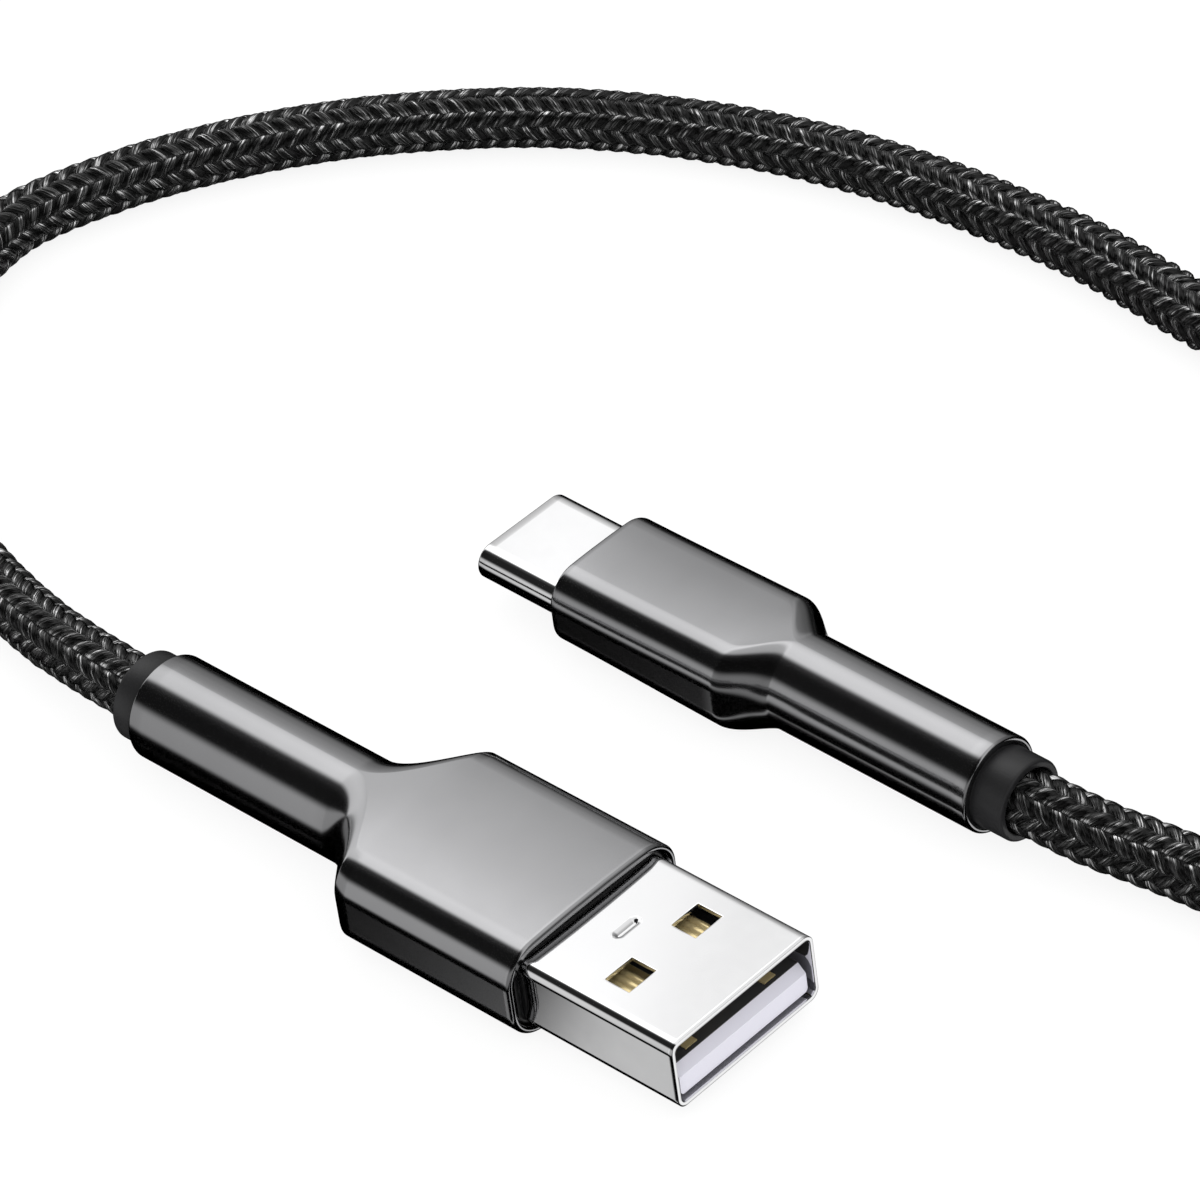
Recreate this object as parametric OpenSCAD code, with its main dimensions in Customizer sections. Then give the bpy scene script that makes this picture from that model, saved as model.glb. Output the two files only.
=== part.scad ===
// Braided charging cable: a USB-A plug and a USB-C plug on one braided cord, lying on a flat surface.
// Both plugs have a hollow metal housing: a flat head, a curved shoulder and a round neck.
// Origin: middle of the USB-A housing's flat underside. +X points out of the USB-A plug, +Z is up.
// Each plug is drawn along its own +X axis, with x = 0 at the middle of its head, and then placed.

/* [Cord] */
// Outside diameter of the braided cord
cord_d = 4.4; // [3.8:0.1:4.5]
// Diameter of the jacketed core under the braid
core_d = 3.2; // [2.8:0.1:3.4]
// Diameter of one insulated wire
wire_d = 0.9; // [0.7:0.05:1.0]

/* [Coil] */
// Turns in the coil
coil_turns = 5.5; // [3.5:1:6.5]
// Radius of the coil at the middle of its turns
coil_mid_r = 21.8; // [20:0.1:26]
// Thickness of the strap that ties the coil
tie_t = 0.5; // [0.3:0.1:1]
// Width of the strap that ties the coil
tie_w = 7; // [4:0.5:10]

/* [Housings] */
// Wall of both housings
wall = 0.5; // [0.4:0.05:0.6]
// Radius on the open edges of both housings
edge_r = 0.25; // [0.1:0.05:0.35]
// Radius on the cord end of both housings
neck_edge_r = 0.2; // [0.1:0.05:0.35]

/* [USB-A housing] */
// Width of the head
a_head_w = 15; // [14:0.1:17]
// Thickness of the head
a_head_h = 7.2; // [7.2:0.1:8.4]
// Radius of the head's long corners
a_head_r = 2.4; // [1.8:0.1:2.9]
// Length of the head, up to the shoulder
a_head_l = 14.7; // [13:0.1:20]
// Length of the shoulder
a_shoulder_l = 5.2; // [3:0.1:8]
// Diameter of the neck
a_neck_d = 7.2; // [6.4:0.1:7.2]
// Length of the neck
a_neck_l = 17.3; // [14:0.1:24]
// Length of collar that shows past the neck
a_collar_out = 2; // [1:0.1:5]

/* [USB-A connector] */
// Width of the metal shell
a_shell_w = 12; // [11.9:0.05:12.1]
// Height of the metal shell
a_shell_h = 4.5; // [4.4:0.05:4.6]
// Length of shell that shows past the housing
a_shell_out = 12.3; // [11.75:0.05:13]
// Length of shell held inside the housing
a_shell_in = 5; // [4:0.1:6]
// Thickness of the shell's sheet metal
a_sheet = 0.3; // [0.25:0.05:0.35]
// Length of a latch window in the shell
window_l = 2; // [1.6:0.1:2.5]
// Width of a latch window in the shell
window_w = 2.4; // [1.8:0.1:2.6]
// Distance from the shell's front edge to the middle of a window
window_x = 6.3; // [5:0.1:7.5]
// Distance between the middles of the two windows
window_gap = 5.9; // [5:0.1:6.5]
// Thickness of the plastic tongue
tongue_t = 2.05; // [1.8:0.05:2.2]
// Width of a contact
pin_w = 1; // [0.8:0.05:1.2]

/* [USB-C housing] */
// Width of the head
c_head_w = 9.8; // [9.8:0.1:12]
// Thickness of the head
c_head_h = 6; // [6:0.1:7]
// Radius of the head's long corners
c_head_r = 2.3; // [1.4:0.1:2.5]
// Length of the head, up to the shoulder
c_head_l = 14; // [13:0.1:20]
// Length of the shoulder
c_shoulder_l = 3.5; // [2.4:0.1:6]
// Diameter of the neck
c_neck_d = 6.6; // [6.2:0.1:6.8]
// Length of the neck
c_neck_l = 16.4; // [13:0.1:24]
// Length of collar that shows past the neck
c_collar_out = 2.5; // [1:0.1:5]

/* [USB-C connector] */
// Width of the metal shell
c_shell_w = 8.34; // [8.3:0.02:8.4]
// Height of the metal shell
c_shell_h = 2.56; // [2.5:0.02:2.6]
// Length of shell that shows past the housing
c_shell_out = 7.3; // [6.2:0.05:8]
// Length of shell held inside the housing
c_shell_in = 3.5; // [3:0.1:4.5]
// Thickness of the shell's sheet metal
c_sheet = 0.2; // [0.15:0.05:0.25]
// Contacts in each row
c_pins = 12; // [6:1:12]
// Thickness of the circuit board
pcb_t = 0.8; // [0.6:0.1:1]

/* [Placement] */
// X of the middle of the USB-C head
c_x = -9; // [-14:0.1:-6]
// Y of the middle of the USB-C head
c_y = 25.7; // [22:0.1:30]
// Direction that the USB-C plug points in, in degrees
c_yaw = 179.2; // [175:0.1:185]

/* [Hidden] */

// Gap round a piece that is pushed into another
fit = 0.03;
// The cord end's radius, kept within the wall
neck_fillet = min(neck_edge_r, wall - 0.05);
// How far a moulded front sits back from its housing's mouth
mould_recess = 0.35;
// Length of collar inside the neck
collar_in = 4.3;
// Length of jacketed core past the neck, up to the bare wires
core_out = 4;
// Distance from a head's cord end to the back of its front mould
mould_back = 2.5;
// Crimp ring: length and wall
crimp_l = 3;
crimp_wall = 0.35;
// Contact thickness, and how far a contact stands above the tongue
pin_t = 0.25;
pin_proud = 0.06;
// Steps round each corner of a housing's section, and rings along its shoulder
corner_steps = 7;
shoulder_rings = 10;
// Power that leans each shoulder's curve towards its head: less than 1 widens it sooner
a_lean = 0.65;
c_lean = 1;
// Sides of the tubes that stand for the cord
tube_sides = 10;

gunmetal = [0.36, 0.36, 0.38];
nickel = [0.86, 0.86, 0.87];
gold = [0.83, 0.68, 0.32];
black_plastic = [0.06, 0.06, 0.07];
grey_rubber = [0.16, 0.16, 0.17];
lilac_plastic = [0.9, 0.89, 0.95];
braid_black = [0.1, 0.1, 0.11];

a_axis_z = a_head_h / 2;
c_axis_z = max(c_head_h, c_neck_d) / 2;
a_mouth = a_head_l / 2;
c_mouth = c_head_l / 2;
a_tip = a_mouth + a_shell_out;
c_tip = c_mouth + c_shell_out;
a_tail = a_mouth - a_shell_in;
c_tail = c_mouth - c_shell_in;
a_neck_start = -a_head_l / 2 - a_shoulder_l;
c_neck_start = -c_head_l / 2 - c_shoulder_l;
a_neck_end = a_neck_start - a_neck_l;
c_neck_end = c_neck_start - c_neck_l;

// Height of the tongue's upper face above the plug's axis
tongue_top = -a_shell_h / 2 + a_sheet + tongue_t;
// Contact places across the tongue, and how far the longer and shorter ones start from the tip
power_y = 3.5;
data_y = 1;
power_start = 1.2;
data_start = 2.2;
// Depth and height of the slope on the tongue's front edge
tongue_slope = 0.6;
// Block of the insulator that closes the back of the USB-A shell, and how far its tails stick out
carrier_l = 4.5;
tail_out = 1.2;
// Corner radius of the USB-A shell
a_shell_r = 0.45;
// Small pressed dimple in the shell: distance from the front edge, width, length and depth
dimple_x = 9.35;
dimple_w = 2.2;
dimple_l = 0.8;
dimple_t = 0.12;
// Slot in the USB-C plug for a socket's tongue, and how far the contacts stand into it
c_proud = 0.05;
c_slot_h = pcb_t + 2 * c_proud;
c_slot_w = 6.6;
c_slot_l = 5.6;
c_pitch = 0.5;
c_pin_w = 0.25;
c_pin_t = 0.15;
c_pin_start = 0.9;
c_tail_out = 0.9;
c_latch_t = 0.2;
c_latch_h = 0.7;
// Circuit board, and the solder joints on its back edge and on the USB-A tails
c_pcb_l = 5.4;
c_pcb_w = 7;
solder_l = 0.6;
solder_d = 1.2;
c_wire_gap = 1.75;

// Coil: middle on the ground, spacing of the turns, and its outermost and innermost centre lines
coil_x = 55;
coil_y = 53.5;
coil_pitch = cord_d + 0.1;
coil_out_r = coil_mid_r + coil_pitch * coil_turns / 4;
coil_in_r = coil_mid_r - coil_pitch * coil_turns / 4;

// Where the braided cord enters each plug's core, and where it leaves each collar
a_cord_in = [a_neck_end + collar_in, 0, a_axis_z];
a_exit = [a_neck_end - a_collar_out, 0, a_axis_z];
c_cord_in = c_point(c_neck_end + collar_in);
c_exit = c_point(c_neck_end - c_collar_out);

// Centre line from the USB-A plug: round to the left, across the back and up to the coil's upper layer
lead_a_route = concat([a_cord_in, a_exit], [
    [-37.1, 0.3, 3.4], [-42.1, 1.1, 2.8], [-48, 2.5, 2.35], [-54.6, 4.6, 2.2], [-61, 7.7, 2.2],
    [-66.9, 11.9, 2.2], [-72, 17.4, 2.2], [-75.6, 24, 2.2], [-77, 31, 2.2], [-75, 37.9, 2.2],
    [-71.6, 44.4, 2.2], [-67.2, 50.4, 2.2], [-61.4, 56.2, 2.2], [-54.2, 61.6, 2.2], [-45, 66.2, 2.2],
    [-34.6, 69.4, 2.2], [-23.4, 70.9, 2.2], [-12.6, 71, 2.2], [-3, 69.9, 2.2], [7, 69.2, 2.25],
    [17, 70, 2.8], [27, 73.1, 4.1], [36, 77.3, 5.9], [45, 80.5, 6.95]
]);
// Centre line from the USB-C plug to the coil's lower layer
lead_c_route = concat([c_cord_in, c_exit], [
    [25, 25.7, 2.95], [30, 26.7, 2.5], [36, 27.3, 2.4], [42, 26.9, 2.5], [48, 26.1, 2.7]
]);

// A point on the USB-C plug's axis
function c_point(x) = [c_x + x * cos(c_yaw), c_y + x * sin(c_yaw), c_axis_z];

// Smooth step from 0 to 1
function ease(t) = t * t * (3 - 2 * t);

function mix(p, q, t) = p + (q - p) * t;

// Outline of a rounded rectangle in Y and Z at x, as corner arcs joined by straight sides
function section(x, w, h, r) = [
    for (q = [0:3], i = [0:corner_steps])
        let (t = 90 * (q + i / corner_steps),
             sy = (q == 0 || q == 3) ? 1 : -1,
             sz = (q < 2) ? 1 : -1)
        [x, sy * (w / 2 - r) + r * cos(t), sz * (h / 2 - r) + r * sin(t)]
];

// Rings of a housing's skin, shrunk by s all round: head, shoulder, neck. Each ring is [x, w, h, r].
function skin(hw, hh, hr, hl, sl, nd, nl, lean, s) = let (neck0 = -hl / 2 - sl) [
    [hl / 2, hw - 2 * s, hh - 2 * s, hr - s],
    for (i = [0:shoulder_rings])
        let (t = i / shoulder_rings, e = ease(pow(t, lean)))
        [-hl / 2 - sl * t, mix(hw, nd, e) - 2 * s, mix(hh, nd, e) - 2 * s,
         mix(hr, nd / 2 - 0.01, e) - s],
    [neck0 - nl, nd - 2 * s, nd - 2 * s, nd / 2 - 0.01 - s]
];

// The same ring moved along X and shrunk, for a rounded edge
function edge_ring(k, dx, s) = [k[0] + dx, k[1] - 2 * s, k[2] - 2 * s, k[3] - s];

function first(v) = v[0];
function last(v) = v[len(v) - 1];
function middle(v) = [for (i = [1:len(v) - 2]) v[i]];
function flip(v) = [for (i = [len(v) - 1:-1:0]) v[i]];

// Closed loop of rings: outer skin from the mouth to the neck's end, then the inner skin back
function sleeve_rings(outer, inner) = concat(
    [for (t = [0, 45, 90]) edge_ring(first(outer), -edge_r * (1 - cos(t)), edge_r * (1 - sin(t)))],
    middle(outer),
    [for (t = [0, 30, 60, 90])
        edge_ring(last(outer), neck_fillet * (1 - sin(t)), neck_fillet * (1 - cos(t)))],
    flip(inner)
);

// A hollow sleeve from a closed loop of rings
module ring_loop(rings) {
    n = 4 * (corner_steps + 1);
    m = len(rings);
    polyhedron(
        points = [for (k = rings) each section(k[0], k[1], k[2], k[3])],
        faces = [
            for (i = [0:m - 1], j = [0:n - 1])
                let (k = (i + 1) % m, l = (j + 1) % n)
                each [[i * n + j, i * n + l, k * n + l], [i * n + j, k * n + l, k * n + j]]
        ]
    );
}

// A round tube along a route, closed at both ends
module tube(route, d) {
    n = tube_sides;
    m = len(route);
    points = [
        for (i = [0:m - 1])
            let (t = route[min(i + 1, m - 1)] - route[max(i - 1, 0)],
                 u = [t[1], -t[0], 0] / norm([t[1], t[0]]),
                 v = cross(u, t) / norm(t))
            for (j = [0:n - 1]) route[i] + d / 2 * (u * cos(360 * j / n) + v * sin(360 * j / n))
    ];
    faces = [
        for (i = [0:m - 2], j = [0:n - 1])
            let (l = (j + 1) % n)
            each [[i * n + j, i * n + l, (i + 1) * n + l], [i * n + j, (i + 1) * n + l, (i + 1) * n + j]]
    ];
    polyhedron(points = points, faces = concat(faces, [
        [for (j = [n - 1:-1:0]) j],
        [for (j = [0:n - 1]) (m - 1) * n + j]
    ]));
}

// Flat outlines
module rounded_rect(w, h, r) {
    square([w - 2 * r, h], center = true);
    square([w, h - 2 * r], center = true);
    for (sx = [-1, 1], sy = [-1, 1])
        translate([sx * (w / 2 - r), sy * (h / 2 - r)]) circle(r = r, $fn = 48);
}

module stadium(w, h) {
    square([w - h, h], center = true);
    for (sx = [-1, 1]) translate([sx * (w - h) / 2, 0]) circle(d = h, $fn = 48);
}

// An outline in Y and Z, drawn out along X from x0 to x1
module along_x(x0, x1) {
    translate([x0, 0, 0]) rotate([90, 0, 90]) linear_extrude(x1 - x0) children();
}

// A box between two X values, centred across the axis, with its middle at height z
module block(x0, x1, w, h, z = 0) {
    translate([x0, -w / 2, z - h / 2]) cube([x1 - x0, w, h]);
}

// A round bar on the plug's axis, and a ring of the same kind
module bar(x0, x1, d) {
    translate([x0, 0, 0]) rotate([0, 90, 0]) cylinder(h = x1 - x0, d = d, $fn = 48);
}

module ring(x0, x1, outer_d, inner_d) {
    difference() {
        bar(x0, x1, outer_d);
        bar(x0 - 1, x1 + 1, inner_d);
    }
}

// An insulated wire from point p to point q, cut square to X at both ends
module wire(p, q) {
    v = q - p;
    intersection() {
        translate([p[0], -10, -10]) cube([v[0], 20, 20]);
        translate(p) rotate([0, acos(v[2] / norm(v)), atan2(v[1], v[0])]) translate([0, 0, -1])
            cylinder(h = norm(v) + 2, d = wire_d, $fn = 24);
    }
}

// Where wire i of four leaves the core
function core_wire(x, i) = [x, [-0.6, -0.6, 0.6, 0.6][i], [0.6, -0.6, -0.6, 0.6][i]];

// Places for each plug's pieces
module at_a() {
    translate([0, 0, a_axis_z]) children();
}

module at_c() {
    translate([c_x, c_y, c_axis_z]) rotate([0, 0, c_yaw]) children();
}

// Pieces that both plugs have, each with its own sizes

module housing(head_w, head_h, head_r, head_l, shoulder_l, neck_d, neck_l, lean) {
    ring_loop(sleeve_rings(
        skin(head_w, head_h, head_r, head_l, shoulder_l, neck_d, neck_l, lean, 0),
        skin(head_w, head_h, head_r, head_l, shoulder_l, neck_d, neck_l, lean, wall)
    ));
}

// Collar round the cord, pushed into the neck, with a bevelled outer end
module collar(neck_end, neck_d, out) {
    r = neck_d / 2 - wall - fit;
    bevel = 0.25;
    translate([neck_end + collar_in, 0, 0]) rotate([0, -90, 0]) rotate_extrude($fn = 64)
        polygon([
            [cord_d / 2 + fit, 0],
            [r, 0],
            [r, collar_in + out - bevel],
            [r - bevel, collar_in + out],
            [cord_d / 2 + fit, collar_in + out]
        ]);
}

// Plug of moulded plastic that fills the neck between the collar and the shoulder
module neck_filler(neck_start, neck_end, neck_d) {
    ring(neck_end + collar_in, neck_start, neck_d - 2 * (wall + fit), core_d + 2 * fit);
}

module cable_core(neck_start, neck_end) {
    bar(neck_end + collar_in, neck_start + core_out, core_d);
}

// Ring crimped on the end of the core
module crimp_ring(neck_start) {
    x1 = neck_start + core_out - 0.3;
    ring(x1 - crimp_l, x1, core_d + 2 * (fit + crimp_wall), core_d + 2 * fit);
}

// Moulded filling of a head, before its pockets are cut
module mould_blank(head_w, head_h, head_r, head_l) {
    s = wall + fit;
    along_x(mould_back - head_l / 2, head_l / 2 - mould_recess)
        rounded_rect(head_w - 2 * s, head_h - 2 * s, head_r - wall);
}

// USB-A plug

module usb_a_housing() {
    color(gunmetal) at_a()
        housing(a_head_w, a_head_h, a_head_r, a_head_l, a_shoulder_l, a_neck_d, a_neck_l, a_lean);
}

module usb_a_collar() {
    color(grey_rubber) at_a() collar(a_neck_end, a_neck_d, a_collar_out);
}

module usb_a_front_mould() {
    color(black_plastic) at_a() difference() {
        mould_blank(a_head_w, a_head_h, a_head_r, a_head_l);
        along_x(a_tail, a_mouth + 1)
            rounded_rect(a_shell_w + 2 * fit, a_shell_h + 2 * fit, a_shell_r + fit);
        block(-a_head_l, a_tail + 1, a_shell_w - 1.4, a_shell_h - 0.8);
    }
}

module usb_a_neck_filler() {
    color(black_plastic) at_a() neck_filler(a_neck_start, a_neck_end, a_neck_d);
}

module usb_a_shell() {
    color(nickel) at_a() difference() {
        along_x(a_tail, a_tip) rounded_rect(a_shell_w, a_shell_h, a_shell_r);
        along_x(a_tail - 1, a_tip + 1)
            rounded_rect(a_shell_w - 2 * a_sheet, a_shell_h - 2 * a_sheet, a_shell_r - a_sheet / 2);
        for (sy = [-1, 1])
            translate([a_tip - window_x, sy * window_gap / 2, 0])
                cube([window_l, window_w, a_shell_h + 2], center = true);
        translate([a_tip - dimple_x, 0, a_shell_h / 2 - dimple_t]) rotate([0, 0, 90])
            linear_extrude(1) stadium(dimple_w, dimple_l);
    }
}

// Tongue and carrier block in one moulding, with a channel for each contact
module usb_a_insulator() {
    w = a_shell_w - 2 * (a_sheet + fit);
    z0 = -a_shell_h / 2 + a_sheet + fit;
    x0 = a_tip - 0.3;
    color(lilac_plastic) at_a() difference() {
        intersection() {
            union() {
                rotate([90, 0, 0]) linear_extrude(w, center = true) polygon([
                    [a_tail, z0],
                    [x0, z0],
                    [x0, tongue_top - tongue_slope],
                    [x0 - tongue_slope, tongue_top],
                    [a_tail, tongue_top]
                ]);
                block(a_tail, a_tail + carrier_l, w, -2 * z0);
            }
            along_x(a_tail - 1, a_tip + 1) rounded_rect(w, -2 * z0, a_shell_r - a_sheet / 2);
        }
        for (y = [-power_y, -data_y, data_y, power_y])
            a_contact_bar(y, abs(y) == power_y ? power_start : data_start, fit);
    }
}

// A contact strip at y that starts a distance behind the tip, grown by g on its sides and underside
module a_contact_bar(y, start, g) {
    translate([a_tail - tail_out - g, y - pin_w / 2 - g, tongue_top + pin_proud - pin_t - g])
        cube([a_tip - start - a_tail + tail_out + 2 * g, pin_w + 2 * g, pin_t + g]);
}

module usb_a_contact_vbus() {
    color(gold) at_a() a_contact_bar(-power_y, power_start, 0);
}

module usb_a_contact_d_minus() {
    color(gold) at_a() a_contact_bar(-data_y, data_start, 0);
}

module usb_a_contact_d_plus() {
    color(gold) at_a() a_contact_bar(data_y, data_start, 0);
}

module usb_a_contact_gnd() {
    color(gold) at_a() a_contact_bar(power_y, power_start, 0);
}

// Middle of the back face of wire i's solder joint
function a_joint(i) =
    [a_tail - tail_out - solder_l, [-power_y, -data_y, data_y, power_y][i],
     tongue_top + pin_proud - pin_t / 2];

module usb_a_solder() {
    color(nickel) at_a() for (i = [0:3])
        translate(a_joint(i)) rotate([0, 90, 0]) cylinder(h = solder_l, d = solder_d, $fn = 24);
}

module a_wire(i) {
    at_a() wire(core_wire(a_neck_start + core_out, i), a_joint(i));
}

module usb_a_wire_red() {
    color("red") a_wire(0);
}

module usb_a_wire_white() {
    color("white") a_wire(1);
}

module usb_a_wire_green() {
    color("green") a_wire(2);
}

module usb_a_wire_black() {
    color(black_plastic) a_wire(3);
}

module usb_a_cable_core() {
    color(black_plastic) at_a() cable_core(a_neck_start, a_neck_end);
}

module usb_a_crimp_ring() {
    color(nickel) at_a() crimp_ring(a_neck_start);
}

// USB-C plug

module usb_c_housing() {
    color(gunmetal) at_c()
        housing(c_head_w, c_head_h, c_head_r, c_head_l, c_shoulder_l, c_neck_d, c_neck_l, c_lean);
}

module usb_c_collar() {
    color(grey_rubber) at_c() collar(c_neck_end, c_neck_d, c_collar_out);
}

module usb_c_front_mould() {
    color(black_plastic) at_c() difference() {
        mould_blank(c_head_w, c_head_h, c_head_r, c_head_l);
        along_x(c_tail, c_mouth + 1) stadium(c_shell_w + 2 * fit, c_shell_h + 2 * fit);
        block(-c_head_l, c_tail + 1, c_pcb_w + 0.4, c_shell_h - 0.3);
    }
}

module usb_c_neck_filler() {
    color(black_plastic) at_c() neck_filler(c_neck_start, c_neck_end, c_neck_d);
}

module usb_c_shell() {
    color(nickel) at_c() difference() {
        along_x(c_tail, c_tip) stadium(c_shell_w, c_shell_h);
        along_x(c_tail - 1, c_tip + 1) stadium(c_shell_w - 2 * c_sheet, c_shell_h - 2 * c_sheet);
    }
}

module usb_c_insulator() {
    s = c_sheet + fit;
    color(black_plastic) at_c() difference() {
        along_x(c_tail, c_tip - 0.15) stadium(c_shell_w - 2 * s, c_shell_h - 2 * s);
        block(c_tip - c_slot_l, c_tip + 1, c_slot_w, c_slot_h);
        for (sz = [-1, 1]) c_contact_row(sz, fit);
        c_latch_pair(fit);
    }
}

// A row of contacts above (sz = 1) or below (sz = -1) the slot, grown by g
module c_contact_row(sz, g) {
    x0 = c_tail - c_tail_out;
    z = sz * (pcb_t + c_pin_t) / 2;
    for (i = [0:c_pins - 1])
        translate([x0, (i - (c_pins - 1) / 2) * c_pitch - c_pin_w / 2 - g, z - c_pin_t / 2 - g])
            cube([c_tip - c_pin_start - x0 + g, c_pin_w + 2 * g, c_pin_t + 2 * g]);
}

// The two springs beside the slot, grown by g
module c_latch_pair(g) {
    for (sy = [-1, 1])
        translate([c_tail + 0.5 - g, sy * (c_slot_w + c_latch_t - 0.1) / 2 - c_latch_t / 2 - g,
                   -c_latch_h / 2 - g])
            cube([c_tip - 0.9 - c_tail + 2 * g, c_latch_t + 2 * g, c_latch_h + 2 * g]);
}

module usb_c_contacts_top() {
    color(gold) at_c() c_contact_row(1, 0);
}

module usb_c_contacts_bottom() {
    color(gold) at_c() c_contact_row(-1, 0);
}

module usb_c_side_latches() {
    color(nickel) at_c() c_latch_pair(0);
}

module usb_c_pcb() {
    color("darkgreen") at_c() block(c_tail - fit - c_pcb_l, c_tail - fit, c_pcb_w, pcb_t);
}

module usb_c_resistor() {
    h = 0.35;
    x = c_tail - c_pcb_l / 2;
    color(black_plastic) at_c() block(x - 0.5, x + 0.5, 0.5, h, (pcb_t + h) / 2);
}

// Middle of the back face of wire i's solder joint
function c_joint(i) = [c_tail - fit - c_pcb_l - solder_l, (i - 1.5) * c_wire_gap, 0];

module usb_c_solder() {
    color(nickel) at_c() for (i = [0:3])
        translate(c_joint(i)) rotate([0, 90, 0]) cylinder(h = solder_l, d = solder_d, $fn = 24);
}

module c_wire(i) {
    at_c() wire(core_wire(c_neck_start + core_out, i), c_joint(i));
}

module usb_c_wire_red() {
    color("red") c_wire(0);
}

module usb_c_wire_white() {
    color("white") c_wire(1);
}

module usb_c_wire_green() {
    color("green") c_wire(2);
}

module usb_c_wire_black() {
    color(black_plastic) c_wire(3);
}

module usb_c_cable_core() {
    color(black_plastic) at_c() cable_core(c_neck_start, c_neck_end);
}

module usb_c_crimp_ring() {
    color(nickel) at_c() crimp_ring(c_neck_start);
}

// Cord

module cord_lead_a() {
    color(braid_black) tube(lead_a_route, cord_d);
}

// The coil as one closed solid: the outline of its two layers of turns, turned round its middle
module cord_coil() {
    w = coil_out_r - coil_in_r + cord_d;
    color(braid_black) translate([coil_x, coil_y, tie_t + cord_d]) rotate_extrude($fn = 96)
        translate([coil_mid_r, 0]) rounded_rect(w, 2 * cord_d, cord_d / 2 - 0.05);
}

module cord_lead_c() {
    color(braid_black) tube(lead_c_route, cord_d);
}

// Strap round one side of the coil, wide enough inside for the curve of the turns across its width
module coil_tie() {
    inner_r = coil_in_r - cord_d / 2;
    slack = inner_r - sqrt(inner_r * inner_r - tie_w * tie_w / 4) + fit;
    w = coil_out_r - coil_in_r + cord_d + 2 * slack;
    color(black_plastic)
        translate([coil_x + coil_mid_r, coil_y, tie_t + cord_d]) rotate([90, 0, 0])
            linear_extrude(tie_w, center = true) difference() {
                rounded_rect(w + 2 * tie_t, 2 * (cord_d + tie_t), cord_d / 2);
                rounded_rect(w, 2 * cord_d, cord_d / 2 - tie_t);
            }
}

usb_a_housing();
usb_a_collar();
usb_a_front_mould();
usb_a_neck_filler();
usb_a_shell();
usb_a_insulator();
usb_a_contact_vbus();
usb_a_contact_d_minus();
usb_a_contact_d_plus();
usb_a_contact_gnd();
usb_a_solder();
usb_a_wire_red();
usb_a_wire_white();
usb_a_wire_green();
usb_a_wire_black();
usb_a_cable_core();
usb_a_crimp_ring();
usb_c_housing();
usb_c_collar();
usb_c_front_mould();
usb_c_neck_filler();
usb_c_shell();
usb_c_insulator();
usb_c_contacts_top();
usb_c_contacts_bottom();
usb_c_side_latches();
usb_c_pcb();
usb_c_resistor();
usb_c_solder();
usb_c_wire_red();
usb_c_wire_white();
usb_c_wire_green();
usb_c_wire_black();
usb_c_cable_core();
usb_c_crimp_ring();
cord_lead_a();
cord_coil();
cord_lead_c();
coil_tie();
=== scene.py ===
# %% [markdown]
# # A braided charging cable
# This notebook builds the visible surface of a charging cable round a imported CAD model: a USB-A plug,
# a USB-C plug and one metre of braided cord. Everything is in metres in the CAD model's own frame:
# the origin lies under the middle of the USB-A plug's head, +X points out of that plug, +Z is up.
# Each step says what the piece is on the real cable, how it could be made, and why it is made this way.

# %% Load the frame
import math

import bpy
import numpy as np
from mathutils import Matrix


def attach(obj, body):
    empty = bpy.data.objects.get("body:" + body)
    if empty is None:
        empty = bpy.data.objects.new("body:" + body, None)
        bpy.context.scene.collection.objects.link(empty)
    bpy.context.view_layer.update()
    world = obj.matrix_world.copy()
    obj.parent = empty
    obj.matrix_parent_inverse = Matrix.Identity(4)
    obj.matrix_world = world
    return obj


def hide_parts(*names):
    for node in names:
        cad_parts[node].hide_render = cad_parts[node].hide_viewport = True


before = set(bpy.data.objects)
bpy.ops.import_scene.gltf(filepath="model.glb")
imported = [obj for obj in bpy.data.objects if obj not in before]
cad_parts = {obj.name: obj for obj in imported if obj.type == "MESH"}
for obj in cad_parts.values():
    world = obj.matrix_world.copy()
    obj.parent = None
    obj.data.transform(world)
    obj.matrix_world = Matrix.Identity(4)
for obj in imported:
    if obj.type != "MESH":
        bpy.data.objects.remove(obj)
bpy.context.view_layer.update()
scene = bpy.context.scene
scene.view_settings.view_transform = "Standard"
MM = 0.001

# %% [markdown]
# ## The camera
# A product shot of something this small is taken from about half a metre with a very long lens, so
# parallel edges stay almost parallel. The camera could be aimed with a Track To constraint, but a
# rotation worked out from its azimuth, its height above the horizon and a small roll is exact, and
# leaves nothing live in the scene.

# %% The camera
CAMERA_PLACE, LENS_MM = (0.26145, -0.2237, 0.3069), 225
azimuth, elevation, roll = (math.radians(a) for a in (48.1, 39.3, -8.2))
looking = np.array([-math.sin(azimuth) * math.cos(elevation),
                    math.cos(azimuth) * math.cos(elevation), -math.sin(elevation)])
level = np.array([math.cos(azimuth), math.sin(azimuth), 0])
upright = np.cross(level, looking)
pose = np.eye(4)
pose[:3, 0] = level * math.cos(roll) + upright * math.sin(roll)
pose[:3, 1] = upright * math.cos(roll) - level * math.sin(roll)
pose[:3, 2] = -looking
pose[:3, 3] = CAMERA_PLACE
camera_data = bpy.data.cameras.new("studio_camera")
camera_data.lens = LENS_MM
camera_data.sensor_width = 36
camera_data.clip_start = 0.01
camera = bpy.data.objects.new("studio_camera", camera_data)
scene.collection.objects.link(camera)
camera.matrix_world = Matrix(pose.tolist())
scene.camera = camera
print("camera looks along", looking.round(3))

# %% [markdown]
# ## Meshes from arrays
# Every new piece here is a grid of points worked out as one numpy array. Blender takes such arrays
# straight into a mesh with foreach_set, which is much quicker than adding vertices one by one.
# A closed solid's signed volume says whether its faces point outwards, so the helper turns them if not.

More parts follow.
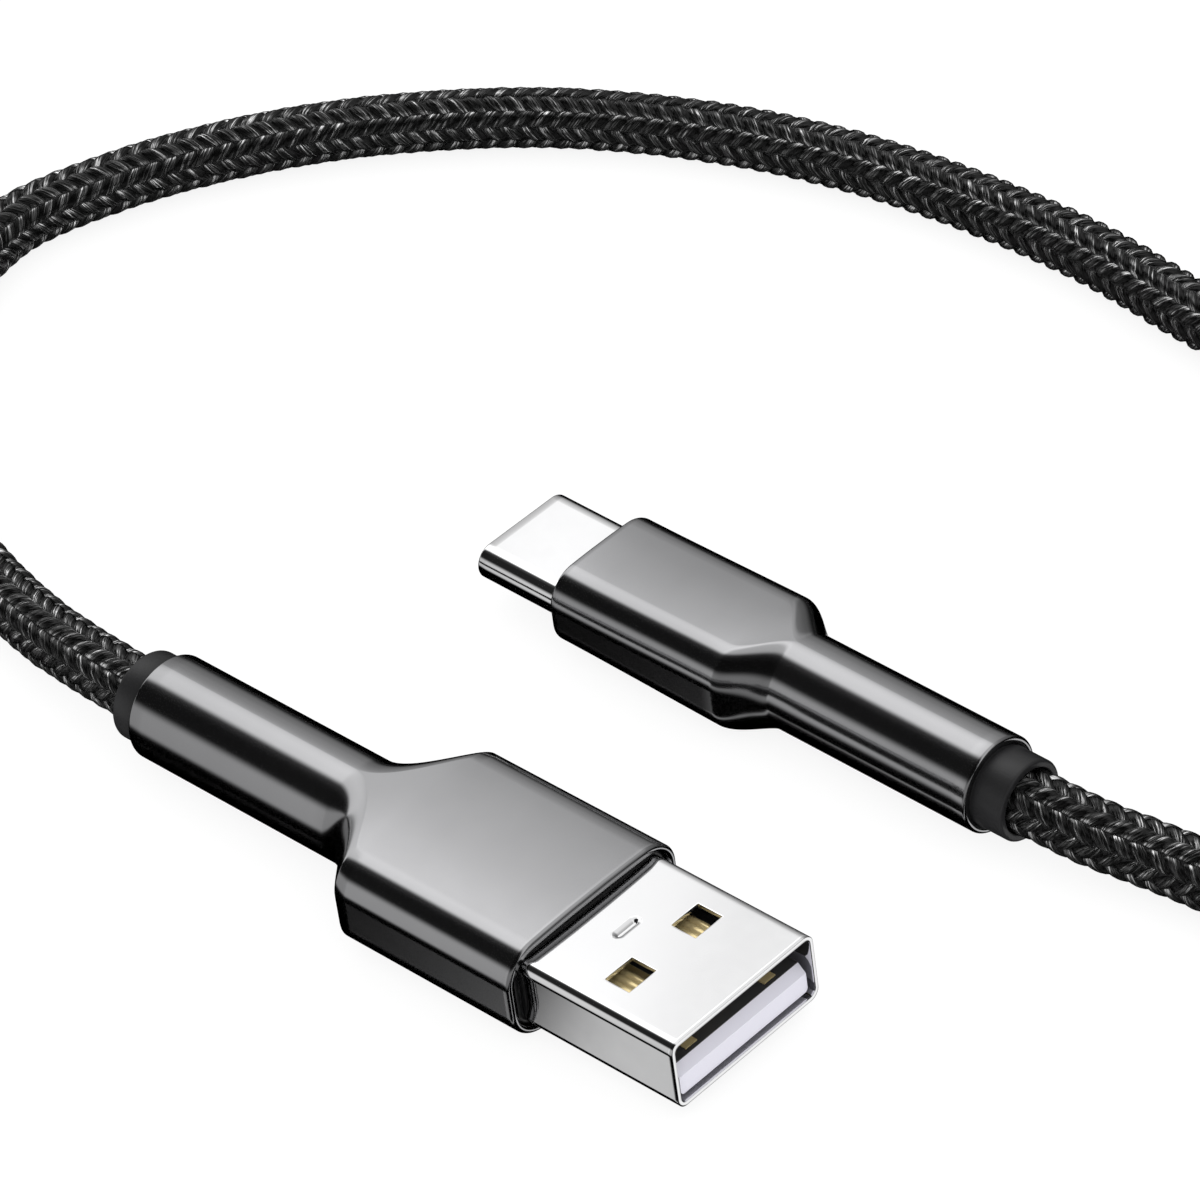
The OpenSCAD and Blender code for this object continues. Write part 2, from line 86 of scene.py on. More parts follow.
# %% From a grid of points to a Blender object
def stacked(*parts):
    """Arrays stretched to one shape and put side by side along a new last axis."""
    return np.stack(np.broadcast_arrays(*parts), axis=-1)


def grid_faces(rows, columns, wrap_rows, wrap_columns):
    """Quads (i,j), (i,j+1), (i+1,j+1), (i+1,j) of a grid whose last row or column may join the first."""
    i = np.arange(rows if wrap_rows else rows - 1)[:, None]
    j = np.arange(columns if wrap_columns else columns - 1)[None, :]
    k, l = (i + 1) % rows, (j + 1) % columns
    return stacked(i * columns + j, i * columns + l, k * columns + l, k * columns + j).reshape(-1, 4)


def signed_volume(points, quads):
    """Sum of the pyramids from the origin to each quad's two triangles: positive if faces point out."""
    a, b, c, d = (points[quads[:, n]] for n in range(4))
    return (np.einsum("ij,ij->i", a, np.cross(b, c)) + np.einsum("ij,ij->i", a, np.cross(c, d))).sum() / 6


def new_piece(name, points, quads, triangles=None, uv=None, check_out=True):
    """A mesh object with its place in its mesh, from (k,3) points in metres and rows of corner numbers."""
    points = np.asarray(points, float).reshape(-1, 3)
    if triangles is None:
        triangles = np.zeros((0, 3), int)
    padded = np.vstack([quads, np.hstack([triangles, triangles[:, 2:]])])
    if check_out and signed_volume(points - points.mean(axis=0), padded) < 0:
        quads, triangles = quads[:, ::-1], triangles[:, ::-1]
    corners = np.concatenate([quads.ravel(), triangles.ravel()]).astype(np.int32)
    starts = np.concatenate([4 * np.arange(len(quads)), 4 * len(quads) + 3 * np.arange(len(triangles))])
    mesh = bpy.data.meshes.new(name)
    mesh.vertices.add(len(points))
    mesh.vertices.foreach_set("co", points.astype(np.float32).ravel())
    mesh.loops.add(len(corners))
    mesh.loops.foreach_set("vertex_index", corners)
    mesh.polygons.add(len(starts))
    mesh.polygons.foreach_set("loop_start", starts.astype(np.int32))
    mesh.polygons.foreach_set("use_smooth", np.ones(len(starts), bool))
    if uv is not None:
        layer = mesh.uv_layers.new(name="UVMap")
        layer.data.foreach_set("uv", np.asarray(uv, np.float32)[corners].ravel())
    mesh.update(calc_edges=True)
    mesh.validate()
    piece = bpy.data.objects.new(name, mesh)
    scene.collection.objects.link(piece)
    print(f"{name}: {len(points)} points, {2 * len(quads) + len(triangles)} triangles")
    return piece


def closed_loop_piece(name, rings):
    """A solid like a ring doughnut: (rows, columns, 3) rings that join end to end."""
    return new_piece(name, rings, grid_faces(*rings.shape[:2], True, True))


def capped_piece(name, rings):
    """A solid from (rows, columns, 3) rings with a fan of triangles closing the first and last ring."""
    rows, columns = rings.shape[:2]
    points = np.vstack([rings.reshape(-1, 3), rings[:1].mean(axis=1), rings[-1:].mean(axis=1)])
    j = np.arange(columns)
    l = (j + 1) % columns
    last_ring, first_middle = (rows - 1) * columns, rows * columns
    fans = np.vstack([stacked(l, j, first_middle), stacked(j + last_ring, l + last_ring, first_middle + 1)])
    return new_piece(name, points, grid_faces(rows, columns, False, True), fans)


# %% [markdown]
# ## The route of the cord
# The cord is one metre of soft round cable, so its middle line comes first: out of the USB-A plug,
# round to the left, across the back, up to the top layer of a coil, down through the coil's two layers
# and out to the USB-C plug. A Bezier curve could carry it, but the plait needs the distance along the
# line and a level frame at every point, so the same route is sampled into arrays.

# %% The route's points, in millimetres
CORD_D = 4.4
COIL_X, COIL_Y, COIL_MID_R, COIL_TURNS, COIL_PITCH, TIE_T = 55, 53.5, 21.8, 5.5, 4.5, 0.5
A_AXIS_Z, A_NECK_END, A_COLLAR_OUT = 3.6, -29.85, 2.0
C_X, C_Y, C_AXIS_Z, C_YAW, C_NECK_END, C_COLLAR_OUT = -9, 25.7, 3.3, math.radians(179.2), -26.9, 2.5
COLLAR_IN = 4.3


def c_plug_point(x):
    """A point on the USB-C plug's axis, x millimetres from the middle of its head."""
    return [C_X + x * math.cos(C_YAW), C_Y + x * math.sin(C_YAW), C_AXIS_Z]


lead_a = [
    [A_NECK_END + COLLAR_IN, 0, A_AXIS_Z], [A_NECK_END - A_COLLAR_OUT, 0, A_AXIS_Z],
    [-37.1, 0.3, 3.4], [-42.1, 1.1, 2.8], [-48, 2.5, 2.35], [-54.6, 4.6, 2.2], [-61, 7.7, 2.2],
    [-66.9, 11.9, 2.2], [-72, 17.4, 2.2], [-75.6, 24, 2.2], [-77, 31, 2.2], [-75, 37.9, 2.2],
    [-71.6, 44.4, 2.2], [-67.2, 50.4, 2.2], [-61.4, 56.2, 2.2], [-54.2, 61.6, 2.2], [-45, 66.2, 2.2],
    [-34.6, 69.4, 2.2], [-23.4, 70.9, 2.2], [-12.6, 71, 2.2], [-3, 69.9, 2.2], [7, 69.2, 2.25],
    [17, 70, 2.8], [27, 73.1, 4.1], [36, 77.3, 5.9], [45, 80.5, 6.95]]
lead_c = [
    [48, 26.1, 2.7], [42, 26.9, 2.5], [36, 27.3, 2.4], [30, 26.7, 2.5], [25, 25.7, 2.95],
    c_plug_point(C_NECK_END - C_COLLAR_OUT), c_plug_point(C_NECK_END + COLLAR_IN)]


def coil_points():
    """The coil's middle line: its radius shrinks to the middle turn and grows back, one layer lower. The
    step between the layers takes a part of that turn, eased."""
    points_a_turn, step_turns = 24, 0.3
    turn = np.linspace(0, COIL_TURNS, int(COIL_TURNS * points_a_turn) + 1)
    half = COIL_TURNS / 2
    radius = COIL_MID_R + COIL_PITCH * (np.abs(turn - half) - half / 2)
    step = np.clip((half - turn) / step_turns + 0.5, 0, 1)
    height = TIE_T + CORD_D / 2 + CORD_D * (1 - step * step * (3 - 2 * step))
    angle = np.radians(-90 + 360 * turn)
    return stacked(COIL_X + radius * np.cos(angle), COIL_Y + radius * np.sin(angle), height)


route = np.vstack([lead_a, coil_points()[::-1], lead_c]) * MM


def smooth_line(knots, spacing):
    """A Catmull-Rom curve through the knots: on each span a cubic whose end slopes are the chord-weighted
    averages of the slopes on either side, sampled evenly by distance."""
    chord = np.linalg.norm(np.diff(knots, axis=0), axis=1)
    slope = np.diff(knots, axis=0) / chord[:, None]
    at_knot = np.vstack([slope[:1], (slope[:-1] * chord[1:, None] + slope[1:] * chord[:-1, None])
                         / (chord[:-1] + chord[1:])[:, None], slope[-1:]])
    samples_a_span = 24
    t = np.linspace(0, 1, samples_a_span, endpoint=False)[None, :, None]
    p, q = knots[:-1, None], knots[1:, None]
    u, v = at_knot[:-1, None] * chord[:, None, None], at_knot[1:, None] * chord[:, None, None]
    curve = ((2 * t ** 3 - 3 * t ** 2 + 1) * p + (t ** 3 - 2 * t ** 2 + t) * u
             + (3 * t ** 2 - 2 * t ** 3) * q + (t ** 3 - t ** 2) * v)
    curve = np.vstack([curve.reshape(-1, 3), knots[-1:]])
    run = np.concatenate([[0], np.cumsum(np.linalg.norm(np.diff(curve, axis=0), axis=1))])
    even = np.linspace(0, run[-1], int(run[-1] / spacing) + 1)
    return np.stack([np.interp(even, run, curve[:, n]) for n in range(3)], axis=1), even


middle_line, distance = smooth_line(route, 0.5 * MM)
cord_length = float(distance[-1])
print(f"cord: {cord_length / MM:.1f} mm along its middle line")

# %% [markdown]
# ## A frame that travels along the cord
# To wrap anything round a line we need two directions square to it. Parallel transport is the usual way,
# but this cord lies almost flat, so "level and to the right" and "up" are steady everywhere, and the
# plait's columns keep their places round the cord, as they do on a cable that hasn't been twisted.

# %% Directions along the cord
ahead = np.gradient(middle_line, axis=0)
ahead /= np.linalg.norm(ahead, axis=1)[:, None]


def along(values, at):
    """Any array of three columns given along the cord, read at other distances."""
    return np.stack([np.interp(at, distance, values[:, n]) for n in range(3)], axis=-1)


def wrap(at, angle, radius):
    """Points at a distance along the cord, an angle round it (0 to the right, 90 degrees up), a radius."""
    forward = along(ahead, at)
    forward /= np.linalg.norm(forward, axis=-1, keepdims=True)
    to_right = stacked(forward[..., 1], -forward[..., 0], 0)
    to_right /= np.linalg.norm(to_right, axis=-1, keepdims=True)
    to_top = np.cross(to_right, forward)
    return (along(middle_line, at) + radius[..., None]
            * (to_right * np.cos(angle)[..., None] + to_top * np.sin(angle)[..., None]))


# %% [markdown]
# ## The cord's core
# Under the plait lies a round jacket. It is a plain tube, but it is what the plait is laid on, and it
# closes the tiny gaps between the yarns.

# %% The jacket under the plait
JACKET_R, JACKET_RINGS, JACKET_SIDES = 1.86 * MM, 900, 20
ring_at, ring_angle, ring_r = np.broadcast_arrays(
    np.linspace(0, cord_length, JACKET_RINGS)[:, None],
    np.radians(np.arange(JACKET_SIDES) * 360 / JACKET_SIDES)[None], JACKET_R)
cord_jacket = capped_piece("cord_jacket", wrap(ring_at, ring_angle, ring_r))

# %% [markdown]
# ## The plait
# A braiding machine lays yarns in both directions, two over and two under, and what shows is columns of
# short slanting floats: each column leans one way, its neighbours the other, and together they make rows
# of little V shapes. A bump map could draw them, but the outline of the cord would stay smooth, so every
# float is a real small crowned patch. It has 24 quads, since it is repeated thousands of times. The two
# leans are two pieces, so that each stays a sensible size.

# %% The yarn floats
COLUMNS, FLOAT_PITCH, LEAN = 10, 1.36 * MM, math.radians(50)
FIRST_COLUMN = math.radians(-3)
FLOAT_LOW_R, FLOAT_CROWN, POINTS_ALONG, POINTS_ACROSS = 1.72, 0.48, 7, 5
COLUMN_W = math.tau * (CORD_D / 2) * MM / COLUMNS


def plait(name, hand):
    """Floats of one hand. On each, u runs along the yarn and v across it, both from -1 to 1. The yarn
    crosses its column at the lean angle; its height is a low base plus a crown that falls to both ends
    and to both edges as the square root of one minus a square, like the top of a grain of rice. Its UV
    map fills one unit square, at a random whole place, so that neighbours show other filaments."""
    count = int(cord_length / FLOAT_PITCH) - 1
    row = np.arange(count)[:, None, None, None]
    column = (2 * np.arange(COLUMNS // 2) + (hand > 0))[None, :, None, None]
    u = np.linspace(-1, 1, POINTS_ALONG)[None, None, :, None]
    v = np.linspace(-1, 1, POINTS_ACROSS)[None, None, None, :]
    rng = np.random.default_rng(5 + (hand > 0))
    jitter = rng.normal(0, 0.03, (count, COLUMNS // 2, 1, 1))
    at = (row + 1 + 0.25 * hand + jitter) * FLOAT_PITCH
    at = at + hand * u * COLUMN_W / 2 / math.tan(LEAN) + v * (0.54 - 0.16 * u * u) * FLOAT_PITCH
    angle = math.tau * column / COLUMNS + FIRST_COLUMN + u * (1.1 - 0.06 * v * v) * math.pi / COLUMNS
    crown = np.sqrt(1 - 0.93 * u * u) * np.sqrt(1 - 0.8 * v * v)
    radius = (FLOAT_LOW_R + (FLOAT_CROWN + 0.4 * jitter) * crown) * MM
    at, angle, radius = np.broadcast_arrays(at, angle, radius)
    points = wrap(at, angle, radius)
    first_point = POINTS_ALONG * POINTS_ACROSS * np.arange(count * (COLUMNS // 2))
    quads = (first_point[:, None, None]
             + grid_faces(POINTS_ALONG, POINTS_ACROSS, False, False)[None]).reshape(-1, 4)
    if hand > 0:
        quads = quads[:, ::-1]
    start = np.floor(rng.random((2, count, COLUMNS // 2, 1, 1)) * 40)
    uv = stacked(u * 0.498 + 0.5 + start[0], v * 0.498 + 0.5 + start[1])
    return new_piece(name, points, quads, uv=uv.reshape(-1, 2), check_out=False)


plait_left = plait("plait_left", -1)
plait_right = plait("plait_right", 1)

# %% [markdown]
# ## Outlines for the plugs
# Most pieces of both plugs are a rounded rectangle carried along the plug's axis: the head, the moulded
# front, the metal shell. So one function gives that outline for many stations at once. Extra points
# just inside each straight side's ends keep the smooth shading of the corners off the flat faces.

# %% The rounded outline, and each plug's place
SIDE_STOPS = np.array([0.015, 0.05, 0.15, 0.35, 0.65, 0.85, 0.95, 0.985])


def rounded_outline(width, height, radius, corner_steps=12, stops=SIDE_STOPS):
    """Rounded rectangles in Y and Z, one row each: four arcs about the corner centres, and points at
    the given fractions of every straight side between them. Returns (rows, columns, 2)."""
    width, height, radius = (np.atleast_1d(np.asarray(v, float))[:, None] for v in (width, height, radius))
    turn = (np.arange(4)[:, None] + np.linspace(0, 1, corner_steps + 1)[None]).ravel() * math.pi / 2
    side_y = np.repeat([1, -1, -1, 1], corner_steps + 1)[None]
    side_z = np.repeat([1, 1, -1, -1], corner_steps + 1)[None]
    arcs = stacked(side_y * (width / 2 - radius) + radius * np.cos(turn),
                   side_z * (height / 2 - radius) + radius * np.sin(turn))
    n = corner_steps + 1
    end = np.repeat(np.arange(4) * n + corner_steps, len(stops))
    side = arcs[:, end] + np.tile(stops, 4)[None, :, None] * (arcs[:, (end + 1) % (4 * n)] - arcs[:, end])
    parts = [part for q in range(4) for part in (
        arcs[:, q * n:(q + 1) * n], side[:, q * len(stops):(q + 1) * len(stops)])]
    return np.concatenate(parts, axis=1)


def on_axis(x, outline):
    """Rings square to the plug's axis: x (rows,) and outline (rows, columns, 2) in millimetres."""
    return stacked(np.asarray(x, float)[:, None], outline[..., 0], outline[..., 1])


def place_a(points):
    """From the USB-A plug's own axis to the frame, in metres."""
    return (points + [0, 0, A_AXIS_Z]) * MM


def place_c(points):
    """From the USB-C plug's own axis to the frame: turned about Z, then moved."""
    x, y, z = np.moveaxis(points, -1, 0)
    return MM * stacked(C_X + x * math.cos(C_YAW) - y * math.sin(C_YAW),
                        C_Y + x * math.sin(C_YAW) + y * math.cos(C_YAW), C_AXIS_Z + z)


# %% [markdown]
# ## The metal housings
# Each plug's housing is a zinc shell: a flat rounded head that narrows over a short shoulder into a round
# neck. It could be modelled from a box with a subdivision surface, but the change from a rounded
# rectangle to a circle is easy to state as numbers: width and corner radius ease from the head's to the
# neck's along the shoulder, with no slope at either end, and height eases over the head as well. The head's
# flats are slightly crowned, so that they carry a gradient and not one flat tone. The inner skin is the
# same, one wall further in, and the rims at both ends are quarter circles.

# %% The housings
WALL, EDGE_R, NECK_EDGE_R = 0.5, 0.25, 0.2


def ease(t):
    """A smooth step from 0 to 1: three t squared less two t cubed."""
    return t * t * (3 - 2 * t)


def crowned(outline, crown, width, height):
    """Lowers the flat top and raises the flat bottom towards both sides, by the crown at the widest."""
    y, z = outline[..., 0], outline[..., 1]
    sag = np.asarray(crown)[..., None] * (2 * y / width) ** 2
    return stacked(y, z * (1 - sag / (height / 2)))


def housing_rings(head_w, head_h, head_r, head_l, shoulder_l, neck_d, neck_l, lean, crown):
    """Rings of the outer skin from mouth to neck's end, then of the inner skin back to the mouth. A lean
    under 1 brings the shoulder's bend nearer the head; the crown is the flats' fall at the head's sides."""
    t = np.linspace(0, 1, 40)
    bend = ease(t ** lean)
    neck_end = -head_l / 2 - shoulder_l - neck_l
    head_x = head_l / 2 - np.array([0.02, 0.06, 0.2, 0.5, 0.8, 0.94]) * (head_l - EDGE_R) - EDGE_R
    neck_x = neck_end + neck_l * np.array([0.94, 0.8, 0.5, 0.2, 0.06]) + NECK_EDGE_R * 0.9

    def head_to_neck(head, neck):
        return np.concatenate([np.full(len(head_x), head), head + (neck - head) * bend,
                               np.full(len(neck_x), neck)])

    x = np.concatenate([head_x, -head_l / 2 - shoulder_l * t, neck_x])
    w = head_to_neck(head_w, neck_d)
    r = head_to_neck(head_r, neck_d / 2 - 0.01)
    taper = np.concatenate([(head_l / 2 - head_x), head_l + shoulder_l * t]) / (head_l + shoulder_l)
    h = np.concatenate([head_h + (neck_d - head_h) * ease(taper), np.full(len(neck_x), neck_d)])
    a = np.linspace(0, math.pi / 2, 8)
    mouth = EDGE_R * (1 - np.cos(a)), EDGE_R * (1 - np.sin(a))
    tail = NECK_EDGE_R * (1 - np.sin(a)), NECK_EDGE_R * (1 - np.cos(a))
    inset = np.concatenate([mouth[1], np.zeros(len(x)), tail[1], np.full(len(x) + 2, WALL)])
    x = np.concatenate([head_l / 2 - mouth[0], x, neck_end + tail[0], [neck_end], x[::-1], [head_l / 2]])
    size = [np.concatenate([np.full(len(a), v[0]), v, np.full(len(a) + 1, v[-1]), v[::-1], v[:1]])
            for v in (w, h, r)]
    outline = rounded_outline(size[0] - 2 * inset, size[1] - 2 * inset, size[2] - inset, corner_steps=16)
    return on_axis(x, crowned(outline, crown * (size[0] - neck_d) / (head_w - neck_d), head_w, head_h))


A_HEAD = dict(head_w=15, head_h=7.2, head_r=2.4, head_l=14.7, shoulder_l=5.2, neck_d=7.2, neck_l=17.3,
              lean=0.65, crown=0.27)
C_HEAD = dict(head_w=9.8, head_h=6, head_r=2.3, head_l=14, shoulder_l=3.5, neck_d=6.6, neck_l=16.4,
              lean=1, crown=0.2)
usb_a_housing = closed_loop_piece("usb_a_metal_housing", place_a(housing_rings(**A_HEAD)))
usb_c_housing = closed_loop_piece("usb_c_metal_housing", place_c(housing_rings(**C_HEAD)))

# %% [markdown]
# ## The collars
# A soft collar grips the cord where it leaves each neck. It is a turned shape, so its profile is a short
# list of radius and position pairs, with a small round at the open end and a shallow groove that shows
# where it is pressed into the neck.

# %% The collars
FIT, COLLAR_SIDES = 0.03, 96


def collar_rings(neck_end, neck_d, out):
    """A turned profile: up the bore's end face, along the outside, over a round lip, back down the bore."""
    r, bore, x1 = neck_d / 2 - WALL - FIT, CORD_D / 2 + FIT, neck_end - out
    lip, inner_lip = 0.2, 0.12
    a = np.linspace(0, math.pi / 2, 7)
    profile = np.vstack([
        [[neck_end + COLLAR_IN, bore], [neck_end + COLLAR_IN, r], [neck_end + 1, r], [neck_end + 0.1, r],
         [neck_end, r - 0.05], [neck_end - 0.1, r - 0.05], [neck_end - 0.2, r]],
        stacked(x1 + lip - lip * np.sin(a), r - lip + lip * np.cos(a)),
        stacked(x1 + inner_lip * (1 - np.cos(a)), bore + inner_lip * (1 - np.sin(a)))])
    turn = np.radians(np.arange(COLLAR_SIDES) * 360 / COLLAR_SIDES)
    return stacked(profile[:, :1], profile[:, 1:] * np.cos(turn), profile[:, 1:] * np.sin(turn))


usb_a_collar = closed_loop_piece("usb_a_grip_collar",
                                 place_a(collar_rings(A_NECK_END, A_HEAD["neck_d"], A_COLLAR_OUT)))
usb_c_collar = closed_loop_piece("usb_c_grip_collar",
                                 place_c(collar_rings(C_NECK_END, C_HEAD["neck_d"], C_COLLAR_OUT)))

# %% [markdown]
# ## The USB-A shell
# The shell is a strip of bright plated steel, 0.3 mm thick, folded into a box with two windows above, two
# below and one small pressed dimple on top. Cutting the windows with booleans would leave long thin faces,
# so grid lines are put on and just beside the window edges and the faces inside are left out. Solidify
# gives the sheet its thickness, a small Bevel softens the cut edges, and Weighted Normal keeps the soft
# shading of those edges off the flat faces.

# %% The USB-A shell
A_SHELL = dict(width=12, height=4.5, radius=0.45)
A_NEARLY_TOP = 2.2
A_TIP, A_TAIL, A_SHEET = 19.65, 2.35, 0.3
WINDOW_X, WINDOW_L, WINDOW_Y, WINDOW_W = 13.35, 2.0, 2.95, 2.4
DIMPLE_X, DIMPLE_W, DIMPLE_L, DIMPLE_DEEP = 10.3, 2.2, 0.8, 0.2
DIMPLE_INSIDE, DIMPLE_SLOPE = 0.22, 0.24


def finish_sheet(piece, thickness, softened, segments=2):
    """Gives an open sheet its thickness, inwards, and softens its cut edges."""
    solid = piece.modifiers.new("sheet", "SOLIDIFY")
    solid.thickness, solid.offset, solid.use_even_offset = thickness * MM, -1, True
    bevel = piece.modifiers.new("soft_edge", "BEVEL")
    bevel.width, bevel.segments, bevel.limit_method = softened * MM, segments, "ANGLE"
    bevel.angle_limit = math.radians(50)
    flats = piece.modifiers.new("flat_faces_stay_flat", "WEIGHTED_NORMAL")
    flats.weight, flats.keep_sharp = 80, True


def usb_a_shell_piece():
    """A folded box. Its top sinks at the dimple by an eased step of the distance to a short line."""
    flat = A_SHELL["width"] / 2 - A_SHELL["radius"]
    beside = np.array([-1.08, -1, 0, 1, 1.08])
    y_lines = np.concatenate([np.arange(-1.4, 1.41, 0.07), WINDOW_Y + WINDOW_W / 2 * beside,
                              -WINDOW_Y + WINDOW_W / 2 * beside, [-5.4, -5, 5, 5.4]])
    stops = np.sort(y_lines / (2 * flat) + 0.5)
    x = np.sort(np.concatenate([[A_TAIL, 5, 7, 8, 9, 9.5, 11.4, 16.9, 18.5, 19.35, A_TIP],
                                np.arange(9.65, 11, 0.06), WINDOW_X + WINDOW_L / 2 * beside]))
    outline = rounded_outline(np.full(len(x), A_SHELL["width"]), A_SHELL["height"], A_SHELL["radius"],
                              corner_steps=10, stops=stops)
    rings = on_axis(x, outline)
    rows, columns = rings.shape[:2]
    aside = np.maximum(np.abs(rings[..., 1]) - (DIMPLE_W - DIMPLE_L) / 2, 0)
    away = np.hypot(rings[..., 0] - DIMPLE_X, aside)
    sink = 1 - ease(np.clip((away - DIMPLE_L / 2 + DIMPLE_INSIDE) / DIMPLE_SLOPE, 0, 1))
    rings[..., 2] -= np.where(rings[..., 2] > A_NEARLY_TOP, sink * DIMPLE_DEEP, 0)
    quads = grid_faces(rows, columns, False, True)
    middle = rings.reshape(-1, 3)[quads].mean(axis=1)
    in_window = ((np.abs(middle[:, 0] - WINDOW_X) < WINDOW_L / 2)
                 & (np.abs(np.abs(middle[:, 1]) - WINDOW_Y) < WINDOW_W / 2) & (np.abs(middle[:, 2]) > 2))
    piece = new_piece("usb_a_plated_shell", place_a(rings), quads[~in_window][:, ::-1], check_out=False)
    finish_sheet(piece, A_SHEET, 0.05)
    return piece


usb_a_shell = usb_a_shell_piece()

# %% [markdown]
# ## The USB-C shell
# This one is a deep-drawn oval tube with no seam. It is also a rounded rectangle, with corners as big as
# half its height. Its lip is drawn in a little, which leaves the soft bright line seen at its front.

# %% The USB-C shell
C_SHELL = dict(width=8.34, height=2.56, radius=1.27)
C_TIP, C_TAIL, C_SHEET = 14.3, 3.5, 0.2


def usb_c_shell_piece():
    """An oval tube whose last 0.16 mm is rounded in by a quarter circle."""
    a = np.linspace(0, math.pi / 2, 6)
    lip, straight = 0.16, [C_TAIL, 6, 7.3, 8, 10.5, 13, 13.6]
    x = np.concatenate([straight, C_TIP - lip + lip * np.sin(a)])
    inset = np.concatenate([np.zeros(len(straight)), lip * (1 - np.cos(a))])
    outline = rounded_outline(C_SHELL["width"] - 2 * inset, C_SHELL["height"] - 2 * inset,
                              C_SHELL["radius"] - inset, corner_steps=16)
    inner = rounded_outline(C_SHELL["width"] - 2 * C_SHEET + 0 * inset, C_SHELL["height"] - 2 * C_SHEET,
                            C_SHELL["radius"] - C_SHEET, corner_steps=16)
    rings = np.vstack([on_axis(x, outline), on_axis(x, inner)[::-1]])
    return closed_loop_piece("usb_c_plated_shell", place_c(rings))


usb_c_shell = usb_c_shell_piece()

# %% [markdown]
# ## The moulded fronts
# Black plastic fills each head's mouth round the shell, a little way back from the metal rim. Only its
# front face and its rounded edge show, but it is made as the closed sleeve that it is.

# %% The moulded fronts
MOULD_RECESS, MOULD_BACK = 0.35, 2.5


def mould_rings(head, shell):
    """Outer outline of the head less its wall, over a small round, in to the shell's outline and back."""
    x0, x1 = MOULD_BACK - head["head_l"] / 2, head["head_l"] / 2 - MOULD_RECESS
    a = np.linspace(0, math.pi / 2, 5)
    soft, s = 0.18, WALL + FIT
    x = np.concatenate([[x0, 0], x1 - soft + soft * np.sin(a), [x1, x1 - 0.1, 0, x0]])
    inset = np.concatenate([[s, s], s + soft * (1 - np.cos(a))])
    w, h, r = head["head_w"], head["head_h"], head["head_r"]
    outer = crowned(rounded_outline(w - 2 * inset, h - 2 * inset, r - inset + FIT), head["crown"], w, h)
    pocket = rounded_outline(np.full(4, shell["width"] + 2 * FIT), shell["height"] + 2 * FIT,
                             shell["radius"] + FIT)
    return on_axis(x, np.vstack([outer, pocket]))


usb_a_front = closed_loop_piece("usb_a_black_front", place_a(mould_rings(A_HEAD, A_SHELL)))
usb_c_front = closed_loop_piece("usb_c_black_front", place_c(mould_rings(C_HEAD, C_SHELL)))

# %% [markdown]
# ## The blades under the windows
# Through each window in the USB-A shell a gold spring blade shows, with a fold along it. It is one small
# sheet: a profile across its width, carried along the plug's axis.

# %% The window blades
BLADE_Z = 1.5


def window_blades():
    """Two blades. Height over the width is a low arch with a groove, falling away at both ends."""
    y = np.array([-0.55, -0.5, -0.3, -0.16, -0.06, 0.04, 0.3, 0.5, 0.58, 0.66, 0.85, 1, 1.05])
    z = np.array([-0.12, 0, 0.02, 0.02, -0.12, 0.02, 0.05, 0.03, -0.08, 0.03, 0.05, 0, -0.12])
    x = np.array([10.8, 11, 12, 13, 13.8, 14.2, 14.4, 14.5])
    drop = np.array([-0.5, -0.12, -0.02, 0, 0, -0.02, -0.2, -0.5])
    made = []
    for side, middle in (("near", -WINDOW_Y), ("far", WINDOW_Y)):
        top = stacked(x[:, None], middle + y[None], BLADE_Z + z[None] + drop[:, None])
        piece = new_piece(f"usb_a_window_blade_{side}", place_a(top),
                          grid_faces(len(x), len(y), False, False)[:, ::-1], check_out=False)
        finish_sheet(piece, 0.16, 0.02, 1)
        made.append(piece)
    return made


usb_a_blades = window_blades()

# %% [markdown]
# ## The strap round the coil
# The metre of cord is put away in a flat coil held by a hook-and-loop strap. The strap is a ribbon that
# runs once round the coil's section and laps over its own end, so its middle line is a rounded rectangle
# whose last stretch lies one thickness further out.

# %% The strap
TIE_W, FIRST_POINT, LAP_POINTS, RISE_POINTS = 7, 9, 18, 6


